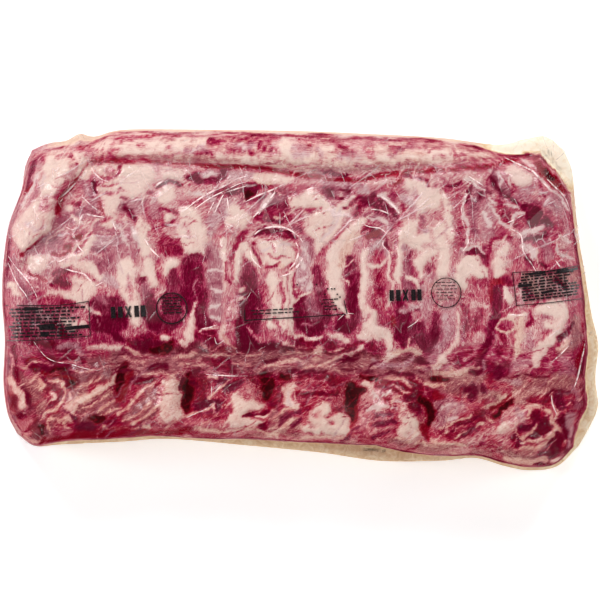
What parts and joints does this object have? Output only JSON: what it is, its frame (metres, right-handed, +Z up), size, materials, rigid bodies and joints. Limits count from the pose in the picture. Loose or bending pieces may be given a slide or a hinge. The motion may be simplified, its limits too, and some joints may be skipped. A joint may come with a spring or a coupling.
{
  "type": "vacuum-packed beef strip loin",
  "caption": "Whole raw boneless beef strip loin sealed in a shrunk clear bag, lying flat bone side up, with its fat cap below.",
  "frame": {"origin": "centre of the pack's bounding box, on the surface that it rests on", "axes": "+X along the loin towards its right end as the picture shows it, +Y from the thick chine side to the thin tail side, +Z up out of the bone side"},
  "size_m": [0.436, 0.2504, 0.0787],
  "materials": {
    "wrapped_beef": "raw beef under clear glossy film",
    "clear_film": "clear shrink film, glossy and finely creased",
    "beef_fat": "waxy cream fat, moist",
    "pack_ink": "thin black flexographic ink"
  },
  "bodies": {
    "root": {"sealed_loin": "wrapped_beef"}
  },
  "joints": []
}
